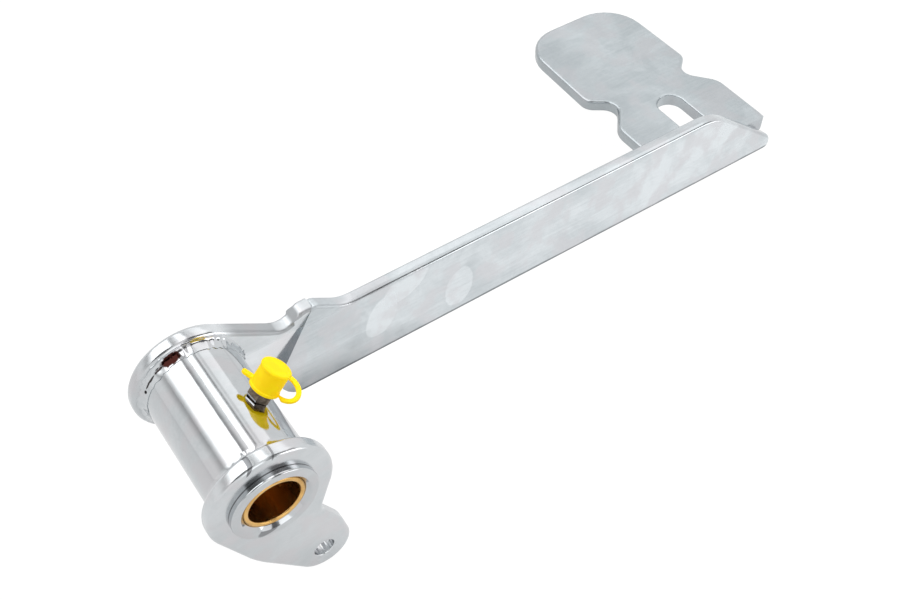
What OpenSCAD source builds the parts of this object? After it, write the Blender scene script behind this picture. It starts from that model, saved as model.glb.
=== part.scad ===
// Rear brake pedal of a motorcycle: a chromed steel weldment that turns on two bronze bushes,
// with a grease nipple and its plastic dust cap. Millimetres.
// The bore's axis is Y, the arm reaches along +X, and the origin is the middle of the bore.
// The near end is the one at -Y, which carries the lever plate.

/* [Pivot tube] */
// Running bore of the bushes, for a 3/4 inch shaft
bore_d = 19.05; // [16:0.05:21]
// Length over the two end collars
hub_len = 68.9; // [60:0.1:90]
// Outside diameter of the tube between the two plates
tube_d = 37.5; // [35:0.5:41]
// Diameter of the turned end collars that the plates sit on
collar_d = 32.4; // [29:0.2:34]
// How far an end collar stands proud of its plate
collar_stand = 2.5; // [1:0.1:4]
// Bevel round each mouth of the bush seat
mouth_bevel = 1.6; // [0.4:0.1:2]

/* [Bushes] */
// Wall of each bronze bush
bush_wall = 1.9; // [1.2:0.1:2.6]
// Length of each bush
bush_len = 25; // [15:0.5:28]
// How far a bush sits in from the collar face
bush_recess = 1; // [0.5:0.1:3]

/* [Plates] */
// Thickness of the steel plate that the four plates are cut from
plate_t = 6.35; // [4:0.05:8]
// Leg of the weld beads
weld_leg = 3.4; // [2:0.1:4]

/* [Lever plate] */
// Radius of the plate round the tube
lever_r = 23.2; // [22:0.2:28]
// Distance of the rod hole from the bore's axis
rod_reach = 50.4; // [44:0.5:65]
// Turn of the rod hole from straight down toward the arm
rod_angle = 17.5; // [5:0.1:30]
// Rod hole, for a 5/16 inch clevis pin
rod_hole_d = 8; // [5:0.1:10]
// Radius of the lobe round the rod hole
lobe_r = 11.2; // [9:0.2:13]
// Distance of the notch's corner from the line through the bore and the rod hole
notch_side = 8.9; // [6:0.1:11]
// Round of the notch between the plate's two round parts
notch_r = 9; // [4:0.5:12]
// Distance of the back edge's bulge from the same line
back_side = 19.8; // [19.4:0.1:22]

/* [Neck plate] */
// Radius of the eye round the tube
eye_r = 22.4; // [22.2:0.1:26]
// Distance along the arm of the waist in the neck's top edge
waist_x = 37.5; // [35:0.5:39]
// Height of the waist over the bore's axis
waist_z = 1.2; // [0:0.1:4]
// Distance along the arm of the joint with the blade, at its top
joint_x = 49; // [48:0.5:56]
// Height of the hump at the joint's top
hump_z = 7.4; // [6:0.1:10]
// Lean of the joint from upright
joint_lean = 36.5; // [20:0.5:42]
// Depth of the neck's lower edge below the bore's axis
neck_drop = 22.5; // [16:0.5:24]

/* [Blade] */
// Distance of the blade's sharp tip from the bore's axis
arm_reach = 288; // [270:0.5:340]
// Height of the blade
blade_h = 30.8; // [28:0.2:36]
// Height of the blade's top edge over the bore's axis
blade_top = 1; // [-2:0.1:3]
// Lean of the blade, its lower edge toward the near end
blade_lean = 8; // [0:0.5:10]
// Slope of the cut end
tip_slope = 37; // [30:1:60]
// Round of the tip
tip_r = 3.6; // [1:0.1:6]

/* [Foot plate] */
// Distance of the plate's middle line back from the blade's tip
foot_back = 34.3; // [32:0.1:53]
// Depth of the plate's top face below the bore's axis
foot_drop = 19; // [14:0.5:21]
// Reach of the plate from the near collar face
foot_reach = 167.4; // [150:0.1:200]
// Width of the root
root_w = 60.4; // [54:0.2:64]
// Width of the head
head_w = 59.2; // [54:0.2:64]
// Shift of the head's middle line toward the tube
head_shift = 1.3; // [0:0.1:3]
// Width at the notches between them
foot_waist = 42; // [36:0.2:46]
// Distance of the notches from the near collar face
foot_waist_y = 107.6; // [104:0.1:114]
// Width of the slot
slot_w = 13.2; // [6:0.1:16]
// Distance of the slot's outer end from the near collar face
slot_end = 99.1; // [94:0.1:106]
// Length of the slot over its round ends
slot_len = 29; // [18:0.5:32]

/* [Grease nipple] */
// Place of the nipple along the tube, from the near collar face
nipple_y = 31.4; // [29:0.1:38]
// Angle of the nipple above the arm's direction
nipple_angle = 50; // [20:1:120]
// Hexagon across flats
hex_af = 7.94; // [7:0.01:9]
// Height of the hexagon
hex_h = 3.5; // [2:0.1:5]
// Turn of the hexagon round the nipple's axis
hex_turn = 41; // [0:1:59]
// Gap between the hexagon and the tube
hex_gap = 0.5; // [0.2:0.1:2]
// Diameter of the thread
thread_d = 6.35; // [5:0.05:7]
// Diameter of the ball head
head_d = 6.6; // [6:0.1:7]
// Height of the head over the hexagon
head_h = 7; // [6:0.1:8]

/* [Dust cap] */
// Outside diameter of the cap's body
cap_d = 10.5; // [9.4:0.1:12]
// Outside diameter of its top disc and rim
cap_rim_d = 11.2; // [11:0.1:14]
// Height of the cap
cap_h = 9.4; // [8.4:0.1:11]
// Turn of the tab round the nipple
tab_turn = 133; // [100:1:170]
// Reach of the tab from the nipple's axis
tab_reach = 10.3; // [8:0.1:14]
// Turn of the loop round the nipple
loop_turn = -15; // [-60:1:20]
// Rise of the loop out of the rim's plane
loop_rise = 20; // [0:1:30]
// Width of the loop over its two sides
loop_w = 16; // [13:0.2:18]
// Thickness of the rim, the tab and the loop
strap_t = 1; // [0.8:0.1:2]

/* [Hidden] */
$fn = 72;

steel = "silver";
bronze = "darkgoldenrod";
nickel = "dimgray";
plastic = "yellow";

near_y = -hub_len / 2;
far_y = hub_len / 2;
lever_y = near_y + collar_stand;
neck_y = far_y - collar_stand - plate_t;
tube_r = tube_d / 2;
bush_d = bore_d + 2 * bush_wall;
collar_bevel = 0.5;
rod_hole = rod_reach * [sin(rod_angle), -cos(rod_angle)];
foot_x = arm_reach - foot_back;

// Unit vector at an angle in the plane
function turn(a) = [cos(a), sin(a)];
// Unit vector from p to q
function unit(p, q) = (q - p) / norm(q - p);
// Points of an arc
function arc(c, r, a0, a1, n) = [for (i = [0:n]) c + r * turn(a0 + (a1 - a0) * i / n)];
// Where a line from p touches a circle of radius r round the origin, on one side.
// It is let in by a hair, so that the line and the circle cross cleanly.
function touch(p, r, side) =
    let (r = r - 0.03)
    r * turn(atan2(p[1], p[0]) + side * acos(r / norm(p)));
// One corner of an outline between its neighbours a and b, rounded to radius r
function corner(a, p, b, r, n) =
    r == 0 ? [p] :
    let (u = unit(p, a),
         v = unit(p, b),
         half = acos(u * v) / 2,
         c = p + unit([0, 0], u + v) * r / sin(half),
         s = p + u * r / tan(half) - c,
         e = p + v * r / tan(half) - c,
         a0 = atan2(s[1], s[0]),
         a1 = atan2(e[1], e[0]))
    arc(c, r, a0, a0 + (a1 - a0 + 540) % 360 - 180, n);
// Closed outline through corners given as [point, radius]
function outline(pts, n = 8) =
    let (m = len(pts))
    [for (i = [0:m - 1])
        each corner(pts[(i + m - 1) % m][0], pts[i][0], pts[(i + 1) % m][0], pts[i][1], n)];

// A plate cut from a shape drawn in the XZ plane, from y to y + t
module upright(y, t) {
    translate([0, y + t, 0]) rotate([90, 0, 0]) linear_extrude(t) children();
}

// A solid turned about the Y axis from a profile of [radius, y]
module turned(profile) {
    rotate([-90, 0, 0]) rotate_extrude() polygon(profile);
}

// A straight round bar along Y
module y_bar(d, y0, y1) {
    translate([0, y0, 0]) rotate([-90, 0, 0]) cylinder(d = d, h = y1 - y0);
}

// Places its children on the nipple's axis, with Z outward from the bore's axis
module on_nipple() {
    translate([0, near_y + nipple_y, 0]) rotate([0, 90 - nipple_angle, 0]) children();
}

// Steel tube with a shoulder for each plate, bored through for the bushes
module pivot_tube() {
    shoulder = lever_y + plate_t;
    color(steel) difference() {
        turned([
            [0, near_y],
            [collar_d / 2 - collar_bevel, near_y],
            [collar_d / 2, near_y + collar_bevel],
            [collar_d / 2, shoulder],
            [tube_r, shoulder],
            [tube_r, neck_y],
            [collar_d / 2, neck_y],
            [collar_d / 2, far_y - collar_bevel],
            [collar_d / 2 - collar_bevel, far_y],
            [0, far_y]]);
        y_bar(bush_d, near_y - 1, far_y + 1);
        for (end = [0, 1]) mirror([0, end, 0])
            translate([0, near_y, 0]) rotate([-90, 0, 0])
                cylinder(d1 = bush_d + 2 * mouth_bevel, d2 = bush_d, h = mouth_bevel);
        on_nipple() cylinder(d = thread_d, h = tube_r + 1);
    }
}

// A point of the lever plate, by its distance along the line from bore to rod hole and beside it
function beside(along, side) =
    along * [sin(rod_angle), -cos(rod_angle)] + side * [cos(rod_angle), sin(rod_angle)];

// Brake lever plate: a round part on the near collar, and a lobe with the rod hole
module lever_plate() {
    back = beside(lever_r + 5, -back_side);
    notch = beside(lever_r + 3.5, notch_side);
    shoulder = beside(rod_reach - 7.5, lobe_r + 0.7);
    color(steel) difference() {
        upright(lever_y, plate_t) union() {
            circle(r = lever_r);
            translate(rod_hole) circle(r = lobe_r);
            polygon(outline([
                [[0, 0], 0],
                [touch(back, lever_r, -1), 0],
                [back, 60],
                [rod_hole + touch(back - rod_hole, lobe_r, 1), 0],
                [rod_hole, 0],
                [rod_hole + touch(shoulder - rod_hole, lobe_r, -1), 0],
                [shoulder, 20],
                [notch, notch_r],
                [touch(notch, lever_r, 1), 0]]));
        }
        y_bar(collar_d, near_y, 0);
        translate([rod_hole[0], 0, rod_hole[1]]) y_bar(rod_hole_d, near_y, 0);
    }
}

// Points of the joint between neck and blade, at the hump and at the neck's lower edge
joint_top = [joint_x, hump_z];
joint_foot = [joint_x - (hump_z + neck_drop) * tan(joint_lean), -neck_drop];

// Neck plate: an eye on the far collar, and a short neck that ends at the sloping joint
module neck_plate() {
    waist = [waist_x, waist_z];
    color(steel) difference() {
        upright(neck_y, plate_t) union() {
            circle(r = eye_r);
            polygon(outline([
                [[0, 0], 0],
                [touch(joint_foot, eye_r, -1), 0],
                [joint_foot, 0],
                [joint_top, 0],
                [[joint_x - 4.5, hump_z], 5],
                [waist, 6],
                [touch(waist, eye_r, 1), 0]]));
        }
        y_bar(collar_d, 0, far_y);
    }
}

// The blade's own frame: X along it, Y through it, Z up it from the hump
module blade_frame() {
    translate([0, neck_y, hump_z]) rotate([-blade_lean, 0, 0]) children();
}

// Everything on the arm's side of the joint
module past_joint() {
    lean = tan(joint_lean);
    upright(neck_y - blade_h, 3 * blade_h)
        polygon([
            [joint_x + blade_h * lean, hump_z + blade_h],
            [joint_x - 2 * blade_h * lean, hump_z - 2 * blade_h],
            [arm_reach + blade_h, hump_z - 2 * blade_h],
            [arm_reach + blade_h, hump_z + blade_h]]);
}

// Blade: a flat bar that leans out of the neck's plane, with its end cut on a slope
module arm_blade() {
    top = blade_top - hump_z;
    foot = top - blade_h;
    lean = tan(joint_lean);
    color(steel) intersection() {
        blade_frame() upright(0, plate_t)
            polygon(outline([
                [[joint_x - 1, 0], 0],
                [[joint_x + 2, 0], 4],
                [[joint_x + 13, top], 16],
                [[arm_reach - blade_h / tan(tip_slope), top], 26],
                [[arm_reach, foot], tip_r],
                [[joint_x + foot * lean, foot], 9]]));
        past_joint();
    }
}

// Everything behind the blade's far face
module behind_blade() {
    blade_frame() translate([0, plate_t, -200]) cube([2 * arm_reach, 400, 400]);
}

// Foot plate: a head, two notches and a slotted root that meets the blade's far face
module foot_plate() {
    root = root_w / 2;
    right = head_w / 2 - head_shift;
    left = -head_w / 2 - head_shift;
    waist = foot_waist / 2 - 2.2;
    root_y = neck_y + 2;
    notch = near_y + foot_waist_y;
    out = near_y + foot_reach;
    slot_out = near_y + slot_end - slot_w / 2;
    slot_in = near_y + slot_end - slot_len + slot_w / 2;
    color(steel) difference() {
        intersection() {
            translate([foot_x, 0, -foot_drop - plate_t]) linear_extrude(plate_t)
                polygon(outline([
                    [[-root, root_y], 4],
                    [[root, root_y], 4],
                    [[root, notch - 13.6], 10],
                    [[waist, notch], 6],
                    [[right, notch + 8.4], 5],
                    [[right - 1, out], 20],
                    [[left + 1, out], 18],
                    [[left, notch + 8.4], 7],
                    [[-waist, notch], 6],
                    [[-root, notch - 13.6], 10]]));
            behind_blade();
        }
        for (y = [slot_in, slot_out])
            translate([foot_x, y, -foot_drop - plate_t - 1]) cylinder(d = slot_w, h = plate_t + 2);
        translate([foot_x - slot_w / 2, slot_in, -foot_drop - plate_t - 1])
            cube([slot_w, slot_out - slot_in, plate_t + 2]);
    }
}

// Hollow bead profile of [along one face, along the other], with its corner at the origin
function bead(leg, n = 5) = concat([[0, 0]], arc([leg, leg], leg, 180, 270, n));

// Ring bead round the tube behind the lever plate
module lever_weld() {
    y = lever_y + plate_t;
    color(steel) turned([for (p = bead(weld_leg)) [tube_r + p[0], y + p[1]]]);
}

// Ring bead round the tube in front of the neck plate's eye
module eye_weld() {
    color(steel) turned([for (p = bead(weld_leg)) [tube_r + p[0], neck_y - p[1]]]);
}

// Wedge of weld in the step that the leaning blade leaves on the joint's far side
module joint_weld() {
    size = 2 * blade_h;
    length = (hump_z + neck_drop) / cos(joint_lean);
    color(steel) intersection() {
        past_joint();
        behind_blade();
        translate([joint_x, neck_y + plate_t, hump_z]) rotate([0, joint_lean, 0]) rotate([0, 0, -45])
            translate([-size, -size, 1 - length]) cube([2 * size, size, length]);
    }
}

// Where the blade's far face passes a height
function far_face(z) = neck_y + plate_t / cos(blade_lean) - (hump_z - z) * tan(blade_lean);

// A fillet bead along the blade's far face, on one side of a plate face at height z
module root_bead(z, side, length) {
    rotate([90, 0, 90]) linear_extrude(length) polygon(concat(
        [[0, z + side * weld_leg], [0, z]],
        [for (p = arc([weld_leg, weld_leg], weld_leg, 270, 180, 5)) [far_face(z) + p[0], z + side * p[1]]]));
}

// Beads over and under the foot plate's root, the upper one ending short of the sloping cut
module foot_weld() {
    start = foot_x - root_w / 2 + 4;
    color(steel) intersection() {
        behind_blade();
        translate([start, 0, 0]) {
            root_bead(-foot_drop, 1, arm_reach - 22 - start);
            root_bead(-foot_drop - plate_t, -1, foot_x + root_w / 2 - 4 - start);
        }
    }
}

// Plain bronze bush
module bush(y) {
    color(bronze) difference() {
        y_bar(bush_d, y, y + bush_len);
        y_bar(bore_d, y - 1, y + bush_len + 1);
    }
}

module near_bush() {
    bush(near_y + bush_recess);
}

module far_bush() {
    bush(far_y - bush_recess - bush_len);
}

hex_z = tube_r + hex_gap;
cap_z = hex_z + hex_h;
head_z = cap_z + head_h;
ball_d = 2.4;
duct_d = 2.8;
seat_d = 1.7;
seat_z = head_z - 0.6;
ball_z = seat_z - sqrt(pow(ball_d, 2) - pow(seat_d, 2)) / 2 - 0.1;
spring_z = tube_r - 3;

// Nipple: thread, hexagon and ball head, with the grease duct through it
module nipple_body() {
    thread_z = bush_d / 2 + 1.6;
    color(nickel) on_nipple() difference() {
        union() {
            translate([0, 0, thread_z]) cylinder(d = thread_d, h = hex_z - thread_z);
            translate([0, 0, hex_z]) rotate([0, 0, hex_turn])
                cylinder(d = hex_af / cos(30), h = hex_h, $fn = 6);
            rotate_extrude($fn = 48) polygon([
                [0, cap_z],
                [head_d / 2 - 0.2, cap_z],
                [head_d / 2 - 0.8, cap_z + 1.6],
                [head_d / 2 - 0.8, cap_z + 2.6],
                [head_d / 2, cap_z + 4],
                [head_d / 2, cap_z + 4.8],
                [head_d / 2 - 1.4, head_z],
                [0, head_z]]);
        }
        translate([0, 0, thread_z - 1]) cylinder(d = 1.8, h = head_z);
        translate([0, 0, spring_z]) cylinder(d = duct_d, h = seat_z - spring_z);
    }
}

// Steel check ball under the seat in the head
module nipple_ball() {
    color(steel) on_nipple() translate([0, 0, ball_z]) sphere(d = ball_d, $fn = 32);
}

// Coil spring under the ball
module nipple_spring() {
    wire = 0.4;
    turns = 6;
    steps = 9;
    sides = 5;
    r = (duct_d - wire) / 2 - 0.1;
    low = spring_z + wire / 2;
    rise = ball_z - ball_d / 2 - 0.05 - wire - spring_z;
    last = turns * steps;
    points = [for (i = [0:last], k = [0:sides - 1])
        let (a = 360 * i / steps, d = r + wire / 2 * cos(360 * k / sides))
        [d * cos(a), d * sin(a), low + rise * i / last + wire / 2 * sin(360 * k / sides)]];
    walls = [for (i = [0:last - 1], k = [0:sides - 1])
        let (n = (k + 1) % sides, p = i * sides, q = p + sides)
        each [[p + k, p + n, q + n], [p + k, q + n, q + k]]];
    ends = [for (k = [1:sides - 2])
        each [[0, k + 1, k], [last * sides, last * sides + k, last * sides + k + 1]]];
    color(steel) on_nipple() polyhedron(points, concat(walls, ends));
}

// Closed outline of an oval round a centre on the X axis
function oval(x, rx, ry, n = 36) = [for (i = [1:n]) [x + rx * cos(360 * i / n), ry * sin(360 * i / n)]];

// Dust cap: body with a top disc and rim, a pull tab and a loop, moulded in one
module dust_cap() {
    loop_r = 0.35 * loop_w;
    band = 1.8;
    seat = cap_rim_d / 2 - 2.35;
    color(plastic) on_nipple() translate([0, 0, cap_z]) difference() {
        union() {
            rotate_extrude($fn = 48) polygon([
                [0, 0],
                [cap_rim_d / 2, 0],
                [cap_rim_d / 2, strap_t],
                [cap_d / 2, strap_t],
                [cap_d / 2, cap_h - 1.4],
                [cap_rim_d / 2, cap_h - 1],
                [cap_rim_d / 2, cap_h - 0.4],
                [cap_rim_d / 2 - 0.4, cap_h],
                [0, cap_h]]);
            rotate([0, 0, tab_turn]) linear_extrude(strap_t) polygon(outline([
                [[3.5, -1.4], 0],
                [[tab_reach, -1.4], 1.3],
                [[tab_reach, 1.4], 1.3],
                [[3.5, 1.4], 0]]));
            rotate([0, 0, loop_turn]) translate([seat, 0, 0]) rotate([0, -loop_rise, 0]) intersection() {
                linear_extrude(strap_t) difference() {
                    polygon(oval(loop_r - 2.25, loop_r, loop_w / 2));
                    polygon(oval(loop_r - 2.25, loop_r - band, loop_w / 2 - band));
                }
                translate([0, -loop_w, 0]) cube(2 * loop_w);
            }
        }
        translate([0, 0, -1]) cylinder(d = head_d + 0.3, h = head_h + 1.3);
    }
}

pivot_tube();
lever_plate();
neck_plate();
arm_blade();
foot_plate();
lever_weld();
eye_weld();
joint_weld();
foot_weld();
near_bush();
far_bush();
nipple_body();
nipple_ball();
nipple_spring();
dust_cap();
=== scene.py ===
from math import atan2, cos, hypot, pi, radians, sin, tan

import bmesh
import bpy
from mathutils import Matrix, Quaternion, Vector


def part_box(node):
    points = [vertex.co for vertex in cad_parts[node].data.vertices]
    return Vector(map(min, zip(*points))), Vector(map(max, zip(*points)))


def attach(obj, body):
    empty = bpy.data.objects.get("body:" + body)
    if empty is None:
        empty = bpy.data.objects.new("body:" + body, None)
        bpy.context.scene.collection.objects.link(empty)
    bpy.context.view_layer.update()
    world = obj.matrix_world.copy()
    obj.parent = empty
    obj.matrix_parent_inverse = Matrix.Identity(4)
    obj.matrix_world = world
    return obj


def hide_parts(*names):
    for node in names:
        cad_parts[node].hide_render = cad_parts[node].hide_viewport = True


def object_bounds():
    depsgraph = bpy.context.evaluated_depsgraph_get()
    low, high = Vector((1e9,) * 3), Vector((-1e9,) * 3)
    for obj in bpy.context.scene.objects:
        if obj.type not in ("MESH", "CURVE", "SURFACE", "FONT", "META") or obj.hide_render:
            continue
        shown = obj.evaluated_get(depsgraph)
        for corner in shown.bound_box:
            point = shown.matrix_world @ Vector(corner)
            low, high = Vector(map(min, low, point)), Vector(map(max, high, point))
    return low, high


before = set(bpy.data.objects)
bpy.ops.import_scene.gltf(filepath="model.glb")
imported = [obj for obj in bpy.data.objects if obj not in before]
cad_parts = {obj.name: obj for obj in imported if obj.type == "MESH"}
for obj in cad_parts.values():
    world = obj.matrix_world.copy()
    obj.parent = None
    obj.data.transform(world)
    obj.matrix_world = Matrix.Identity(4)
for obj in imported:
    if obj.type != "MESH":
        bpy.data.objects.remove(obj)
cad_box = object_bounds()

# Camera. It stands at the photograph's place, above the near end of the pivot tube and to its
# left. Turn and lift are the way back from the object to the camera: turn is measured round the
# upright from -Y, and lift from the level.
CAMERA_PLACE = (-0.06613, -0.22827, 0.33906)
CAMERA_TURN = radians(-34.63)
CAMERA_LIFT = radians(50.01)
CAMERA_ROLL = radians(0.32)
CAMERA_LENS = 47.665
camera = bpy.data.objects.new("camera", bpy.data.cameras.new("camera"))
camera.data.sensor_fit = "HORIZONTAL"
camera.data.sensor_width = 36
camera.data.lens = CAMERA_LENS
camera.data.clip_start = 0.01
camera.data.clip_end = 20
back = Vector((
    sin(CAMERA_TURN) * cos(CAMERA_LIFT),
    -cos(CAMERA_TURN) * cos(CAMERA_LIFT),
    sin(CAMERA_LIFT)))
camera.rotation_mode = "QUATERNION"
camera.rotation_quaternion = back.to_track_quat("Z", "Y") @ Quaternion((0, 0, 1), CAMERA_ROLL)
camera.location = CAMERA_PLACE
bpy.context.scene.collection.objects.link(camera)
bpy.context.scene.camera = camera
bpy.context.scene.view_settings.view_transform = "Standard"


class Flow:
    """One output of a material's nodes. Sums and products of flows add Math nodes."""

    def __init__(self, tree, socket=None):
        self.tree = tree
        self.socket = socket

    def fill(self, node, values):
        """Gives a node's sockets their values or links."""
        for name, value in values.items():
            if isinstance(value, Flow):
                self.tree.links.new(value.socket, node.inputs[name])
            else:
                node.inputs[name].default_value = value

    def node(self, kind, settings, values, output=0):
        """Adds a node, with its settings first, and returns one of its outputs."""
        made = self.tree.nodes.new("ShaderNode" + kind)
        for name, value in settings.items():
            setattr(made, name, value)
        self.fill(made, values)
        return Flow(self.tree, made.outputs[output] if made.outputs else None)

    def maths(self, operation, first, second):
        return self.node("Math", {"operation": operation}, {0: first, 1: second})

    def __add__(self, other):
        return self.maths("ADD", self, other)

    def __mul__(self, other):
        return self.maths("MULTIPLY", self, other)

    def __sub__(self, other):
        return self.maths("SUBTRACT", self, other)

    def __rsub__(self, other):
        return self.maths("SUBTRACT", other, self)

    __radd__ = __add__
    __rmul__ = __mul__

    def above(self, low, high):
        """Rises smoothly from 0 where the flow is low to 1 where it is high."""
        return self.node("MapRange", {"interpolation_type": "SMOOTHSTEP"},
                         {"Value": self, "From Min": low, "From Max": high})

    def tint(self, none, full):
        """A colour between two, by the flow."""
        return self.node("Mix", {"data_type": "RGBA"}, {0: self, 6: none, 7: full}, 2)

    def along(self, axis):
        """One coordinate of a place or a direction."""
        return self.node("SeparateXYZ", {}, {"Vector": self}, axis)

    def noise(self, scale, detail, **more):
        """Clouds over a place."""
        return self.node("TexNoise", {}, {
            "Vector": self, "Scale": scale, "Detail": detail, **more})


# Studio. A pale floor and a pale surround show white to the camera and in the metal, and the
# floor keeps a faint shadow. One large soft lamp hangs overhead, and the surround fills in.
FLOOR_SIZE = 8
FLOOR_GLOW = 1.09
FLOOR_SHOWN = 0.88
FLOOR_MIRRORED = 0.55
FILL = 0.66
WHITE = (1, 1, 1, 1)
bpy.ops.mesh.primitive_plane_add(size=FLOOR_SIZE, location=(0, 0, cad_box[0][2]))
floor = bpy.context.object
floor.name = "floor"


def bare_nodes(owner):
    """Clears the nodes of a material or a world and returns where they start."""
    owner.use_nodes = True
    owner.node_tree.nodes.clear()
    return Flow(owner.node_tree)


def ray(start, kind):
    """1 for the rays of one kind."""
    return start.node("LightPath", {}, {}, f"Is {kind} Ray")


floor_paper = bpy.data.materials.new("floor_paper")
start = bare_nodes(floor_paper)
paper = start.node("BsdfDiffuse", {}, {"Color": (0.8, 0.8, 0.8, 1)})
glow = start.node("Emission", {}, {"Color": WHITE, "Strength": FLOOR_GLOW})
seen = ray(start, "Camera") + ray(start, "Transmission")
bleached = seen * FLOOR_SHOWN + ray(start, "Glossy") * FLOOR_MIRRORED
mixed = start.node("MixShader", {}, {0: bleached, 1: paper, 2: glow})
start.node("OutputMaterial", {}, {"Surface": mixed})
floor.data.materials.append(floor_paper)

world = bpy.data.worlds.new("surround")
start = bare_nodes(world)
seen = ray(start, "Camera") + ray(start, "Glossy") + ray(start, "Transmission")
surround = start.node("Background", {}, {"Color": WHITE, "Strength": seen * (1 - FILL) + FILL})
start.node("OutputWorld", {}, {"Surface": surround})
bpy.context.scene.world = world

lamp = bpy.data.objects.new("overhead_lamp", bpy.data.lights.new("overhead_lamp", "AREA"))
lamp.data.shape = "DISK"
lamp.data.size = 0.9
lamp.data.energy = 9
lamp.location = (0.45, 0.45, 1.25)
lamp.rotation_euler = (Vector((0, 0, 0)) - lamp.location).to_track_quat("-Z", "Y").to_euler()
lamp.visible_glossy = False
bpy.context.scene.collection.objects.link(lamp)

# Softboxes and dark cards that only the metal shows, each a long strip on a half ring of 0.8 m.
# Those over the tube run along Y, and their places are degrees above +X. Those before the near
# end run along X, and their places are degrees above -Y. Each is given by its middle and width
# in degrees, for those before the end also by its middle and length along X, and by how bright
# its low and its high edge are, where 1 is the surround's white. The last one is a dark card
# behind the camera, which shows at the upper left of each turned edge.
RING = 0.8
STRIP_LENGTH = 1.8
STRIP_MIDDLE = 0.5
OVER_TUBE = [
    ("warm_box", 47, 22, 1.45, 1.35),
    ("dark_card_right", 67, 7, 1.35, 0.3),
    ("narrow_box", 79, 12, 2.2, 2.2),
    ("grey_card", 92, 12, 1.2, 0.38),
    ("wide_box", 115, 33, 2.4, 2.3),
    ("side_box", 138, 14, 2.2, 0.8),
    ("grey_card_left", 154, 17, 0.55, 0.95)]
BEFORE_END = [
    ("low_box_left", 22, 26, -0.03, 0.34, 1.9, 1.5),
    ("low_dark_card", 22, 26, 0.27, 0.26, 0.2, 0.4),
    ("low_box_right", 18, 26, 0.91, 1.0, 2.6, 2.2),
    ("near_dark_card", 49, 34, 0.8, 1.1, 0.03, 0.2)]
BEHIND_CAMERA = Vector((-0.42, -0.5, 0.76))


def card(name, strengths, length, width):
    """A strip that only the metal shows, its long side along its own Y."""
    bpy.ops.mesh.primitive_plane_add(size=1)
    strip = bpy.context.object
    strip.name = name
    strip.scale = (width, length, 1)
    strip_light = bpy.data.materials.new(name)
    start = bare_nodes(strip_light)
    across = start.node("TexCoord", {}, {}, "Object").along("X").above(-0.5, 0.5)
    low, high = [start.node("Emission", {}, {"Color": WHITE, "Strength": strength})
                 for strength in strengths]
    glow = start.node("MixShader", {}, {0: across, 1: low, 2: high})
    start.node("OutputMaterial", {}, {"Surface": glow})
    strip.data.materials.append(strip_light)
    strip.visible_camera = False
    strip.visible_diffuse = False
    strip.visible_shadow = False
    strip.visible_transmission = False
    return strip


def chord(degrees):
    """The width of a strip that spans so many degrees of the ring."""
    return 2 * RING * sin(radians(degrees / 2))


for name, middle, width, low, high in OVER_TUBE:
    turn = radians(middle)
    strip = card(name, (low, high), STRIP_LENGTH, chord(width))
    strip.location = (RING * cos(turn), STRIP_MIDDLE, RING * sin(turn))
    strip.rotation_euler = (0, -turn - pi / 2, 0)
for name, middle, width, along, length, low, high in BEFORE_END:
    turn = radians(middle)
    strip = card(name, (low, high), length, chord(width))
    strip.location = (along, -RING * cos(turn), RING * sin(turn))
    strip.rotation_euler = (0, -turn - pi / 2, -pi / 2)
shade = card("dark_card_behind", (0.05, 0.22), 0.4, 0.54)
shade.location = BEHIND_CAMERA * RING
shade.rotation_euler = BEHIND_CAMERA.to_track_quat("Z", "Y").to_euler()


# Pivot tube, turned from steel bar and chromed. It has a collar and a shoulder at each end that
# the two plates sit on, and it is bored through, with a bevel at each mouth for the bushes.
HUB_END = 0.03445
COLLAR_STAND = 0.0025
PLATE_T = 0.00635
PLATE_Y = HUB_END - COLLAR_STAND - PLATE_T
TUBE_R = 0.01875
COLLAR_R = 0.0162
COLLAR_CORNER = 0.0009
BUSH_R = 0.011425
MOUTH_BEVEL = 0.0016
MERGE = 1e-6
SHARP = 35
# The next two values place and colour a thin line of painted shade round the near collar, just off
# the lever plate's face.
SHADE_LINE_Y = COLLAR_STAND + 0.0002 - HUB_END
COLLAR_ROOT_SHADE = (0.1, 0.1, 0.105, 1)
CHROME_DARK = (0.50, 0.525, 0.54)
CHROME_PALE = (0.60, 0.62, 0.635)
CHROME_ROSY = (0.565, 0.55, 0.565)
CHROME_SHADE = (0.02, 0.02, 0.025, 1)


def alone(piece):
    """Makes one piece the active one and the only one selected."""
    bpy.ops.object.select_all(action="DESELECT")
    bpy.context.view_layer.objects.active = piece
    piece.select_set(True)


def edit(piece):
    """Opens one piece alone in edit mode, with nothing of it selected."""
    alone(piece)
    bpy.ops.object.mode_set(mode="EDIT")
    bpy.ops.mesh.select_all(action="DESELECT")


def settle(piece, spin=(0, 0, 0), place=(0, 0, 0)):
    """Leaves edit mode and puts the piece in its place, with its object at the origin."""
    if bpy.context.mode != "OBJECT":
        bpy.ops.object.mode_set(mode="OBJECT")
    alone(piece)
    piece.rotation_euler = spin
    piece.location = place
    bpy.ops.object.transform_apply(location=True, rotation=True, scale=True)


def modify(piece, kind, **settings):
    """Adds a modifier with its settings and applies it."""
    alone(piece)
    modifier = piece.modifiers.new(kind.lower(), kind)
    for name, value in settings.items():
        setattr(modifier, name, value)
    bpy.ops.object.modifier_apply(modifier=modifier.name)


def smooth(piece, sharp):
    """Smooth shading that keeps flat faces flat, and edges sharp over an angle."""
    alone(piece)
    bpy.ops.object.shade_smooth_by_angle(angle=radians(sharp))
    modify(piece, "WEIGHTED_NORMAL", keep_sharp=True)


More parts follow.
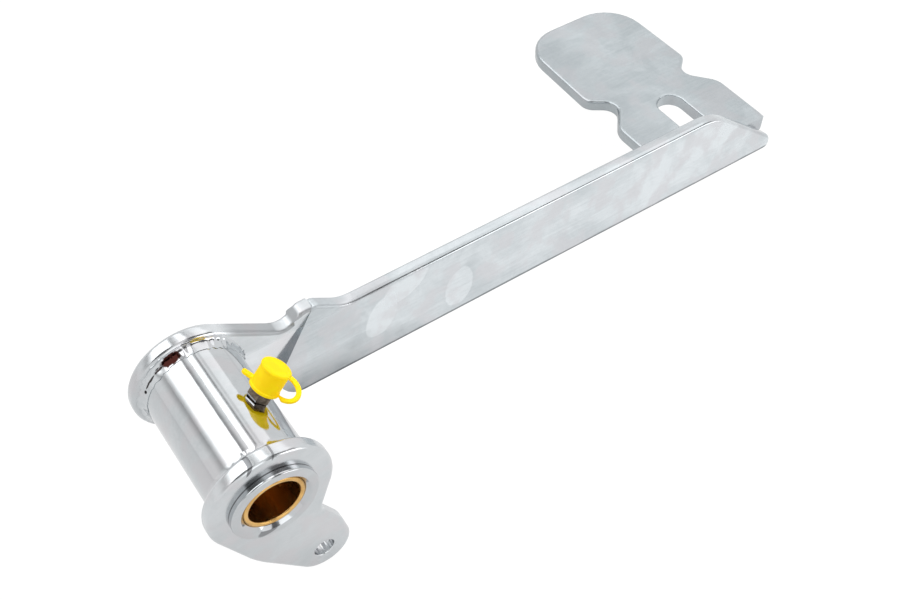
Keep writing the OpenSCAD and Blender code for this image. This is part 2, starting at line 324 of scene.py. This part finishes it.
def turned(name, profile, sides, bored=False):
    """A piece turned about Z: a circle that is extruded and resized from ring to ring.

    profile is a list of [radius, height]. A bored one runs back to its first ring."""
    fill = "NOTHING" if bored else "NGON"
    radius, height = profile[0]
    bpy.ops.mesh.primitive_circle_add(
        vertices=sides, radius=radius, fill_type=fill, location=(0, 0, height))
    piece = bpy.context.object
    piece.name = name
    settle(piece, place=piece.location)
    edit(piece)
    bpy.ops.mesh.select_mode(type="EDGE" if bored else "FACE")
    bpy.ops.mesh.select_all(action="SELECT")
    for ring, rise in profile[1:]:
        bpy.ops.mesh.extrude_region_move(TRANSFORM_OT_translate={"value": (0, 0, rise - height)})
        bpy.ops.transform.resize(value=(ring / radius, ring / radius, 1))
        radius, height = ring, rise
    bpy.ops.mesh.select_all(action="SELECT")
    bpy.ops.mesh.remove_doubles(threshold=MERGE)
    bpy.ops.mesh.normals_make_consistent(inside=False)
    bpy.ops.object.mode_set(mode="OBJECT")
    return piece


def new_finish(name):
    """A new material, its shader, where its nodes start and the place on the piece."""
    material = bpy.data.materials.new(name)
    material.use_nodes = True
    start = Flow(material.node_tree)
    place = start.node("TexCoord", {}, {}, "Object")
    return material, material.node_tree.nodes["Principled BSDF"], start, place


def paint_spots(material, spots):
    """Lays painted spots of shade and reflection over a material's colour, each as where it is
    left unpainted and the spot's colour.
    """
    socket = material.node_tree.nodes["Principled BSDF"].inputs["Base Color"]
    colour = Flow(material.node_tree, socket.links[0].from_socket)
    for unpainted, spot_colour in spots:
        colour = unpainted.tint(spot_colour, colour)
    material.node_tree.links.new(colour.socket, socket)


def chromed(name, low, high, wave, rub=(0, 0, 0), tone=1.0, marks=(), rough_edge_and_shade=None, cool=0.0,
            spread=0.0):
    """Chromium plate over buffed steel.

    low and high are its least and greatest roughness, wave is the height of its unevenness, rub
    is the way that the buffing wheel ran, tone makes it brighter or darker, painted light that
    gives each piece of the same chrome its own brightness, cool takes red out and spread sets its
    darkest and palest places further apart.
    marks lists places that are paler, or with a strength below 0 darker, each as (x, z, half
    length, half width, turn, softness, strength). The paler ones are hazier and stay below the
    upper edge. The darker ones are painted shade, shadow lines and dark reflections.
    Its argument for the upper edge gives four x: from the first to the second the polish of the
    upper edge turns rougher, and from the third to the fourth back again. Its last three values
    are painted shade: how much darker the upward faces in that stretch, their rounding there and
    the upward faces elsewhere are."""
    material, shader, start, place = new_finish(name)
    clouds = place.noise(38, 5, Roughness=0.6, Distortion=0.9)
    buffed = start.node("Mapping", {}, {"Vector": place, "Rotation": rub, "Scale": (60, 900, 900)})
    rubbed = buffed.noise(1, 4)
    fine = place.noise(520, 3)
    cast = place.noise(90, 3)
    haze = clouds.above(0.35, 0.65) * 0.5 + rubbed.above(0.3, 0.7) * 0.2 + fine * 0.3
    below_edge = 1 - place.along("Z").above(-0.0012, -0.0005)
    shades = []
    # Marks above 0 make hazier spots. Those below 0 are painted shade and dark reflections.
    for x, z, half_long, half_wide, turn, softness, strength in marks:
        middle = start.node("Mapping", {"vector_type": "TEXTURE"}, {
            "Vector": place, "Location": (x, 0, z), "Rotation": (0, turn, 0),
            "Scale": (half_long, 1, half_wide)})
        long, wide = middle.along("X"), middle.along("Z")
        inside = 1 - (long * long + wide * wide + cast * 0.9).above(1.5 - softness, 1.5)
        if strength > 0:
            haze = haze + inside * below_edge * strength
        else:
            shades.append(inside * -strength)
    rough = haze * (high - low) + low
    if rough_edge_and_shade:
        fades, (dull, dull_rounding, dull_rest) = rough_edge_and_shade[:4], rough_edge_and_shade[4:]
        x, z = place.along("X"), place.along("Z")
        share = x.above(fades[0], fades[1]) * (1 - x.above(fades[2], fades[3]))
        upright = start.node("TexCoord", {}, {}, "Normal").along("Z")
        rounding = upright.above(0.08, 0.2) * (1 - upright.above(0.75, 0.93))
        # Painted shade: the upward faces are darkened, and in the stretch their rounding too.
        shades.append((share * dull + (1 - share) * dull_rest) * upright.above(0.15, 0.5))
        shades.append(share * rounding * dull_rounding)
        rough = rough + share * z.above(-0.001, 0.002) * 0.28
    filters = tone * (1 - cool), tone * (1 - cool / 4), tone
    dark = [part * (value - spread) for part, value in zip(filters, CHROME_DARK)]
    pale = [part * (value + spread) for part, value in zip(filters, CHROME_PALE)]
    rosy = [part * value for part, value in zip(filters, CHROME_ROSY)]
    colour = (cast.above(0.45, 0.62) * 0.6).tint(haze.tint((*dark, 1), (*pale, 1)), (*rosy, 1))
    for share in shades:
        colour = share.tint(colour, CHROME_SHADE)
    bump = start.node("Bump", {}, {
        "Strength": 1.0, "Distance": wave, "Height": place.noise(70, 2) + fine * 0.06})
    start.fill(shader, {
        "Base Color": colour, "Metallic": 1.0, "Roughness": rough, "Normal": bump})
    return material


# The darker mark is a painted dark reflection on the lower part of the mouth bevels and collar
# faces.
polished = chromed("polished_chrome", 0.06, 0.13, 0.00006, marks=[
    (-0.0045, -0.0120, 0.0042, 0.0021, 0, 0.5, -0.55)])
# A thin dark line of painted shade round the near collar's root, where the lever plate meets it.
place = Flow(polished.node_tree).node("TexCoord", {}, {}, "Object")
off_shade_line = place.along("Y") * 1000 + SHADE_LINE_Y * -1000
paint_spots(polished, [((off_shade_line * off_shade_line).above(0.04, 0.3), COLLAR_ROOT_SHADE)])
corner = [[COLLAR_R - COLLAR_CORNER * (1 - sin(radians(15 * step))),
           HUB_END - COLLAR_CORNER * (1 - cos(radians(15 * step)))] for step in range(7)]
tube = turned("tube", [
    [BUSH_R, HUB_END - MOUTH_BEVEL],
    [BUSH_R + MOUTH_BEVEL, HUB_END],
    *corner,
    [COLLAR_R, PLATE_Y],
    [TUBE_R, PLATE_Y],
    [TUBE_R, -PLATE_Y],
    [COLLAR_R, -PLATE_Y],
    *[[radius, -height] for radius, height in reversed(corner)],
    [BUSH_R + MOUTH_BEVEL, -HUB_END],
    [BUSH_R, MOUTH_BEVEL - HUB_END],
    [BUSH_R, HUB_END - MOUTH_BEVEL]], sides=192, bored=True)
modify(tube, "BEVEL", width=0.0004, segments=3, limit_method="ANGLE", angle_limit=radians(30))
settle(tube, spin=(radians(90), 0, 0))
smooth(tube, SHARP)
tube.data.materials.append(polished)
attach(tube, "pedal")
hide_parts("pivot_tube")


# Two bronze bushes, turned and bored, pressed into the ends of the tube. Their bronze is mottled
# bright and brown, faces and greased bore alike.
BUSH_WALL = 0.0019
BRONZE_BRIGHT = (0.78, 0.48, 0.17, 1)
BRONZE_BROWN = (0.58, 0.34, 0.11, 1)
bronze, shader, start, place = new_finish("turned_bronze")
stains = place.noise(160, 4).above(0.4, 0.7)
start.fill(shader, {
    "Base Color": stains.tint(BRONZE_BRIGHT, BRONZE_BROWN),
    "Metallic": 1.0,
    "Roughness": stains * 0.12 + 0.2})
for name in ("near_bush", "far_bush"):
    low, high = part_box(name)
    bush = turned(name + "_ring", [
        [BUSH_R, low.y],
        [BUSH_R, high.y],
        [BUSH_R - BUSH_WALL, high.y],
        [BUSH_R - BUSH_WALL, low.y],
        [BUSH_R, low.y]], sides=128, bored=True)
    modify(bush, "BEVEL", width=0.0008, segments=6, limit_method="ANGLE", angle_limit=radians(30))
    settle(bush, spin=(radians(-90), 0, 0))
    smooth(bush, SHARP)
    bush.data.materials.append(bronze)
    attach(bush, "pedal")
    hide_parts(name)


# Brake lever plate, cut from quarter-inch steel, with its cut edges ground round before it was
# welded to the near collar and chromed. The rod hole has a small bevel.
ROD_HOLE = Vector((0.015156, 0, -0.048067))
ROD_HOLE_R = 0.004
LEVER_EDGE = 0.002
HOLE_EDGE = 0.0005
LARGEST_EDGE = 0.0026
SEAT_R = 0.018
NEAR = 0.0002


def closed_copy(name, node):
    """A copy of a CAD node as one closed mesh, left in edit mode with nothing selected."""
    piece = bpy.data.objects.new(name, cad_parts[node].data.copy())
    bpy.context.scene.collection.objects.link(piece)
    edit(piece)
    bpy.ops.mesh.select_mode(type="EDGE")
    bpy.ops.mesh.select_all(action="SELECT")
    bpy.ops.mesh.remove_doubles(threshold=2 * MERGE)
    bpy.ops.mesh.dissolve_limited(angle_limit=radians(0.8))
    bpy.ops.mesh.select_all(action="DESELECT")
    return piece


def plate(name, node, radius):
    """The node's plate as one closed mesh, with its cut edges rounded.

    radius(middle, out) gives the rounding of an edge between a flat side and a cut one, by the
    edge's middle and the way that the cut faces, or 0 for a sharp edge."""
    piece = closed_copy(name, node)
    mesh = bmesh.from_edit_mesh(piece.data)
    weight = mesh.edges.layers.float.new("bevel_weight_edge")
    flat = max(mesh.faces, key=lambda face: face.calc_area()).normal.copy()
    for edge in mesh.edges:
        if len(edge.link_faces) == 2:
            cut, side = sorted(edge.link_faces, key=lambda face: abs(face.normal.dot(flat)))
            if abs(side.normal.dot(flat)) > 0.99 and abs(cut.normal.dot(flat)) < 0.2:
                middle = (edge.verts[0].co + edge.verts[1].co) / 2
                edge[weight] = radius(middle, cut.normal) / LARGEST_EDGE
    bmesh.update_edit_mesh(piece.data)
    bpy.ops.object.mode_set(mode="OBJECT")
    modify(piece, "BEVEL", width=LARGEST_EDGE, segments=6, limit_method="WEIGHT",
           loop_slide=False, use_clamp_overlap=False)
    piece.data.materials.clear()
    return piece


def at_seat(point):
    """Whether an edge is the plate's hole, which sits on the collar."""
    return hypot(point.x, point.z) < SEAT_R


def lever_radius(middle, out):
    if at_seat(middle):
        return 0
    at_hole = hypot(middle.x - ROD_HOLE.x, middle.z - ROD_HOLE.z) < ROD_HOLE_R + NEAR
    return HOLE_EDGE if at_hole else LEVER_EDGE


lever = plate("lever", "lever_plate", lever_radius)
smooth(lever, SHARP)
# The two darker marks are painted dark reflections, thin streaks on the upper rim.
lever_chrome = chromed(
    "lever_chrome", 0.14, 0.24, 0.00003, rub=(0, radians(30), 0), tone=1.12,
    marks=[
        (-0.0050, 0.0222, 0.0032, 0.0006, radians(-48), 0.6, -0.7),
        (0.0034, 0.0228, 0.0018, 0.0004, radians(-48), 0.6, -0.5)])
lever.data.materials.append(lever_chrome)
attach(lever, "pedal")
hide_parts("lever_plate")


# Eye and neck of the arm, cut from the same plate. Its edge is ground almost to a half round,
# less so toward the blade, and the end that meets the blade stays square.
JOINT_OUT = Vector((cos(radians(36.5)), 0, -sin(radians(36.5))))
JOINT_FROM = 0.02
EYE_EDGE = 0.0024
BLADE_EDGE = 0.0017
EASING_FROM = 0.018
EASING_LENGTH = 0.012


def part_way(value, low, length):
    """How far a value has come from low along a length, from 0 to 1."""
    return min(1, max(0, (value - low) / length))


def square_end(middle, out):
    """Whether an edge lies at the sloping joint between neck and blade."""
    return middle.x > JOINT_FROM and abs(out.dot(JOINT_OUT)) > 0.97


def neck_radius(middle, out):
    if at_seat(middle) or square_end(middle, out):
        return 0
    return EYE_EDGE + (BLADE_EDGE - EYE_EDGE) * part_way(middle.x, EASING_FROM, EASING_LENGTH)


neck = plate("neck", "neck_plate", neck_radius)
smooth(neck, SHARP)
# The darker mark is painted shade over the eye. From the eye's end on, the upward faces are
# painted darker, their rounding more so.
neck_chrome = chromed(
    "neck_chrome", 0.12, 0.2, 0.00006, rub=(0, radians(-20), 0), tone=1.36,
    marks=[
        (0.029, -0.004, 0.012, 0.007, radians(20), 0.9, 0.5),
        (-0.010, 0, 0.026, 0.045, 0, 0.7, -0.28)],
    rough_edge_and_shade=(0.012, 0.020, 0.2, 0.3, 0.2, 0.36, 0))
neck.data.materials.append(neck_chrome)
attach(neck, "pedal")
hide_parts("neck_plate")


# Blade of the arm, a flat bar on edge that leans out of the neck's plane. Its far edge is ground
# rounder than the near one, its lower near edge is only eased, and its end at the joint is sharp.
BLADE_LEAN = radians(8)
BLADE_FAR_EDGE = 0.002
BLADE_LOW_EDGE = 0.0005
HUMP_Z = 0.0074
JOINT_TO = 0.06
BLADE_LOW_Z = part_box("arm_blade")[0].z


def blade_radius(middle, out):
    if square_end(middle, out) and middle.x < JOINT_TO:
        return 0
    upright_y = middle.y + (HUMP_Z - middle.z) * tan(BLADE_LEAN)
    if upright_y > PLATE_Y + PLATE_T / 2:
        return BLADE_FAR_EDGE
    return BLADE_LOW_EDGE + (BLADE_EDGE - BLADE_LOW_EDGE) * part_way(out.z, -0.9, 1.6)


blade = plate("blade", "arm_blade", blade_radius)
smooth(blade, SHARP)
# The last two marks are painted shade: darker towards the lower corner at the joint, and a thin
# painted shadow line along the lower edge. The upward faces are painted darker over the whole
# length, and near the hump their rounding too.
blade_chrome = chromed(
    "blade_chrome", 0.14, 0.24, 0.00004, rub=(0, radians(18), 0), tone=1.25,
    marks=[
        (0.088, -0.003, 0.012, 0.006, radians(-28), 0.2, 0.5),
        (0.076, -0.013, 0.010, 0.006, radians(-55), 0.2, 0.5),
        (0.111, -0.018, 0.009, 0.0065, radians(-70), 0.2, 0.5),
        (0.245, -0.006, 0.026, 0.012, radians(-10), 1.0, 0.5),
        (0.215, -0.014, 0.070, 0.018, 0, 1.4, 0.4),
        (0.045, -0.034, 0.075, 0.020, radians(4), 1.4, -0.5),
        (0.160, BLADE_LOW_Z + 0.0009, 0.5, 0.0013, 0, 0.6, -0.62)],
    rough_edge_and_shade=(0.01, 0.02, 0.056, 0.072, 0.08, 0.15, 0.15), cool=0.03, spread=0.05)
blade.data.materials.append(blade_chrome)
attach(blade, "pedal")
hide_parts("arm_blade")


# Foot plate, cut flat from the same plate and slotted for the stud of a pedal pad. Its outer
# edge is ground round and the slot has a light bevel.
SLOT_X = 0.2537
SLOT_HALF = 0.0066
SLOT_FAR = 0.0652
SLOT_EDGE = 0.0007
FOOT_EDGE = 0.0018
FOOT_ROOT = 0.0035


def foot_radius(middle, out):
    if middle.y < PLATE_Y + FOOT_ROOT:
        return 0
    in_slot = abs(middle.x - SLOT_X) < SLOT_HALF + NEAR and middle.y < SLOT_FAR
    return SLOT_EDGE if in_slot else FOOT_EDGE


foot = plate("foot", "foot_plate", foot_radius)
smooth(foot, SHARP)
# The darker mark is painted shade over the foot's left part.
foot_chrome = chromed(
    "foot_chrome", 0.17, 0.28, 0.00004, rub=(0, 0, radians(35)), tone=0.95,
    marks=[(0.220, -0.019, 0.030, 0.5, 0, 1.4, -0.24)], cool=0.055, spread=0.02)
foot.data.materials.append(foot_chrome)
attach(foot, "pedal")
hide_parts("foot_plate")


# Weld beads round the tube at both plates, ground to a hollow and buffed, so that tube and plate
# run into each other with only a slow wave left. The spots listed next are painted on the eye's
# bead: a brown painted reflection, and three dark marks of painted shade along its toe on the
# tube. Each is given by degrees round the tube from +X, radius, half sizes and colour.
FILLET_OUT = 0.0023
FILLET_ALONG = 0.0034
FILLET_LIP = 0.0002
BEAD_ROOT = TUBE_R - 0.0006
BEAD_BACK = -0.0008
SPOT_Y = 0.0243
PAINTED_SPOTS = [
    (107, 0.0194, (0.0042, 0.0022, 0.0016), (0.036, 0.011, 0.009, 1)),
    (124, 0.0189, (0.0026, 0.00045, 0.001), (0.05, 0.04, 0.04, 1)),
    (139, 0.0189, (0.0034, 0.0004, 0.001), (0.06, 0.055, 0.055, 1)),
    (153, 0.0188, (0.0010, 0.0008, 0.0008), (0.008, 0.008, 0.008, 1))]
weld_chrome = chromed("weld_chrome", 0.07, 0.16, 0.00015, tone=1.05)
start = Flow(weld_chrome.node_tree)
place = start.node("TexCoord", {}, {}, "Object")
ragged = place.noise(700, 2) * 0.8
spots = []
for turn, radius, half_sizes, spot_colour in PAINTED_SPOTS:
    spot = (radius * cos(radians(turn)), SPOT_Y, radius * sin(radians(turn)))
    middle = start.node("Mapping", {"vector_type": "TEXTURE"}, {
        "Vector": place, "Location": spot, "Rotation": (0, radians(90 - turn), 0),
        "Scale": half_sizes})
    away = start.node("VectorMath", {"operation": "LENGTH"}, {0: middle}, "Value")
    spots.append(((away + ragged).above(1.2, 1.5), spot_colour))
paint_spots(weld_chrome, spots)

hollow = []
for step in range(11):
    turn = radians(9 * step)
    hollow.append([TUBE_R + FILLET_OUT * (1 - cos(turn)) + FILLET_LIP * (1 - step / 10),
                   FILLET_ALONG * (1 - sin(turn)) - FILLET_LIP * step / 10])
for name, level, side in (("lever_weld", -PLATE_Y, 1), ("eye_weld", PLATE_Y, -1)):
    ring = [[BEAD_ROOT, FILLET_ALONG], *hollow, [TUBE_R + FILLET_OUT, BEAD_BACK],
            [BEAD_ROOT, BEAD_BACK], [BEAD_ROOT, FILLET_ALONG]]
    bead = turned(name + "_bead", ring, sides=288, bored=True)
    for vertex in bead.data.vertices:
        turn = atan2(vertex.co.y, vertex.co.x)
        slow_wave = 0.10 * sin(9 * turn + 1.3 * sin(4 * turn))
        quick_wave = 0.08 * sin(37 * turn + 2 * sin(7 * turn))
        ripple = 1 + slow_wave + quick_wave
        out = hypot(vertex.co.x, vertex.co.y) - TUBE_R
        if out > 0:
            swollen = (TUBE_R + out * ripple) / (TUBE_R + out)
            vertex.co.x *= swollen
            vertex.co.y *= swollen
            vertex.co.z = max(vertex.co.z, vertex.co.z * ripple)
    settle(bead, spin=(radians(-90 * side), 0, 0), place=(0, level, 0))
    smooth(bead, 50)
    bead.data.materials.append(weld_chrome)
    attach(bead, "pedal")
    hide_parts(name)

# Weld in the step between neck and blade, and the two along the foot plate's root. They are
# short straight beads, buffed smooth and chromed with the rest.
for name in ("joint_weld", "foot_weld"):
    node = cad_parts[name]
    node.data.materials.clear()
    node.data.materials.append(weld_chrome)


# Grease nipple, machined from steel bar and plated: a hexagon on its thread, and a ball head
# under the cap. The chamfer under the hexagon gets brighter steel as a painted highlight.
NIPPLE_TURN = radians(50)
NIPPLE_PLACE = Vector((0, -0.00305, 0))
HEX_HIGH = 0.02275
HEX_LOW = 0.01925
HEX_CORNER = 0.004584
HEX_CORE = 0.0034
HEX_BEVEL = 0.00025
SAME_RING = 0.0001
NIPPLE_BROWN = (0.20, 0.16, 0.125, 1)
NIPPLE_DARK = (0.09, 0.07, 0.05, 1)
STEEL_GREY = (0.58, 0.58, 0.59, 1)
STEEL_PALE = (0.66, 0.66, 0.67, 1)
nipple_steel, shader, start, place = new_finish("nipple_steel")
stains = place.noise(420, 4).above(0.35, 0.7)
start.fill(shader, {
    "Base Color": stains.tint(NIPPLE_BROWN, NIPPLE_DARK),
    "Metallic": 1.0,
    "Roughness": stains * 0.2 + 0.25})
bearing_steel, shader, start, place = new_finish("bearing_steel")
grain = place.noise(900, 2)
start.fill(shader, {
    "Base Color": grain.tint(STEEL_GREY, STEEL_PALE),
    "Metallic": 1.0,
    "Roughness": grain * 0.1 + 0.12})
axis = Vector((cos(NIPPLE_TURN), 0, sin(NIPPLE_TURN)))


def nipple_rise(point):
    """How far along the nipple's axis a point lies."""
    return (point - NIPPLE_PLACE).dot(axis)


def off_axis(point):
    """How far from the nipple's axis a point lies."""
    return (point - NIPPLE_PLACE - axis * nipple_rise(point)).length


nipple = closed_copy("nipple", "nipple_body")
mesh = bmesh.from_edit_mesh(nipple.data)
for edge in mesh.edges:
    ends = [vertex.co for vertex in edge.verts]
    outer = all(off_axis(end) > HEX_CORNER - NEAR for end in ends)
    edge.select_set(outer and abs((ends[0] - ends[1]).dot(axis)) < SAME_RING)
bmesh.update_edit_mesh(nipple.data)
bpy.ops.mesh.bevel(offset=HEX_BEVEL, segments=1)
bpy.ops.object.mode_set(mode="OBJECT")
for vertex in nipple.data.vertices:
    rise = nipple_rise(vertex.co)
    if off_axis(vertex.co) > HEX_CORE and rise < HEX_LOW + 0.0006:
        vertex.co += axis * (0.0001 if rise > HEX_LOW + SAME_RING else -0.0003)
nipple.data.materials.clear()
smooth(nipple, 30)
nipple.data.materials.append(nipple_steel)
nipple.data.materials.append(bearing_steel)
# The faces of the chamfer under the hexagon get the brighter steel as a painted highlight.
for face in nipple.data.polygons:
    chamfer = -0.9 < face.normal.dot(axis) < -0.3
    face.material_index = 1 if chamfer and nipple_rise(face.center) < HEX_LOW + 0.001 else 0
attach(nipple, "pedal")
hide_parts("nipple_body")

# Check ball and spring inside the nipple, of bright hardened steel. The spring is wound from
# wire and holds the ball against its seat.
for name in ("nipple_ball", "nipple_spring"):
    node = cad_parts[name]
    node.data.materials.clear()
    node.data.materials.append(bearing_steel)


# Dust cap, moulded in one from soft yellow plastic, with a pull tab and a loop on its rim. It is
# pushed over the nipple's head.
CAP_R = 0.00525
CAP_RIM_R = 0.0056
CAP_H = 0.0094
CAP_TOP_RIM = 0.001
CAP_EASING = 0.0004
CAP_HOLE_R = 0.00345
CAP_HOLE_H = 0.0073
CENTRE = 0.00005
STRAP_T = 0.001
TAB_TURN = radians(133)
TAB_TILT = radians(-5)
TAB_REACH = 0.0094
TAB_ROOT = 0.0045
TAB_R = 0.0014
LOOP_TURN = radians(-15)
LOOP_RISE = radians(20)
LOOP_R = 0.0056
LOOP_HALF_W = 0.008
LOOP_BAND = 0.0018
LOOP_START = 0.0002
LOOP_SINK = 0.0021
STRAP_LIFT = 0.0004
VOXEL = 0.00014
cap = turned("cap", [
    [CAP_HOLE_R, 0],
    [CAP_RIM_R, 0],
    [CAP_RIM_R, STRAP_T],
    [CAP_R, STRAP_T],
    [CAP_R, CAP_H - CAP_TOP_RIM - CAP_EASING],
    [CAP_RIM_R, CAP_H - CAP_TOP_RIM],
    [CAP_RIM_R, CAP_H - CAP_EASING],
    [CAP_RIM_R - CAP_EASING, CAP_H],
    [CENTRE, CAP_H],
    [CENTRE, CAP_HOLE_H],
    [CAP_HOLE_R, CAP_HOLE_H],
    [CAP_HOLE_R, 0]], sides=96, bored=True)

bpy.ops.mesh.primitive_cylinder_add(
    vertices=32, radius=TAB_R, depth=STRAP_T, location=(TAB_REACH - TAB_R, 0, STRAP_T / 2))
tab = bpy.context.object
settle(tab, place=tab.location)
edit(tab)
bpy.ops.mesh.select_mode(type="VERT")
mesh = bmesh.from_edit_mesh(tab.data)
for vertex in mesh.verts:
    if vertex.co.x < TAB_REACH - TAB_R + 0.0001:
        vertex.co.x = TAB_ROOT
        vertex.co.y = TAB_R if vertex.co.y > 0 else -TAB_R
bmesh.update_edit_mesh(tab.data)
bpy.ops.mesh.select_all(action="SELECT")
bpy.ops.mesh.remove_doubles(threshold=MERGE)
settle(tab, spin=(0, TAB_TILT, 0), place=(0, 0, 0.0005))
settle(tab, spin=(0, 0, TAB_TURN))

bpy.ops.mesh.primitive_circle_add(vertices=96, radius=1, fill_type="NGON")
loop = bpy.context.object
edit(loop)
bpy.ops.mesh.select_mode(type="FACE")
bpy.ops.mesh.select_all(action="SELECT")
bpy.ops.transform.resize(value=(LOOP_R, LOOP_HALF_W, 1))
bpy.ops.mesh.inset(thickness=LOOP_BAND)
bpy.ops.mesh.delete(type="FACE")
bpy.ops.mesh.select_all(action="SELECT")
bpy.ops.transform.translate(value=(LOOP_R - 0.00225, 0, 0))
bpy.ops.mesh.bisect(plane_co=(LOOP_START, 0, 0), plane_no=(1, 0, 0), clear_inner=True)
bpy.ops.object.mode_set(mode="OBJECT")
modify(loop, "SOLIDIFY", thickness=STRAP_T, offset=-1)
modify(loop, "BEVEL", width=0.0004, segments=2, limit_method="ANGLE", angle_limit=radians(40))
settle(loop, spin=(0, -LOOP_RISE, 0), place=(CAP_RIM_R - LOOP_SINK, 0, STRAP_T + STRAP_LIFT))
settle(loop, spin=(0, 0, LOOP_TURN))

bpy.ops.object.select_all(action="DESELECT")
for part in (tab, loop, cap):
    part.select_set(True)
bpy.context.view_layer.objects.active = cap
bpy.ops.object.join()
modify(cap, "REMESH", mode="VOXEL", voxel_size=VOXEL)
modify(cap, "SMOOTH", factor=0.5, iterations=5)
settle(cap, place=(0, 0, HEX_HIGH))
settle(cap, spin=(0, pi / 2 - NIPPLE_TURN, 0), place=NIPPLE_PLACE)
bpy.ops.object.shade_smooth()
cap_plastic, shader, start, place = new_finish("cap_plastic")
flow_marks = place.noise(260, 3).above(0.35, 0.7)
dimple = start.node("Bump", {}, {
    "Strength": 0.4, "Distance": 0.00003, "Height": place.noise(2600, 2)})
# The orange glow is painted light, which turns the cap's shaded sides orange while its lit top
# stays lemon yellow.
start.fill(shader, {
    "Base Color": flow_marks.tint((0.98, 0.70, 0.0, 1), (1.0, 0.77, 0.001, 1)),
    "Roughness": flow_marks * 0.08 + 0.5,
    "Specular IOR Level": 0.15,
    "Emission Color": (1.0, 0.6, 0.0, 1),
    "Emission Strength": 0.24,
    "Subsurface Weight": 0.15,
    "Subsurface Radius": (1.0, 0.7, 0.1),
    "Subsurface Scale": 0.001,
    "Normal": dimple})
cap.data.materials.append(cap_plastic)
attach(cap, "cap")
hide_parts("dust_cap")
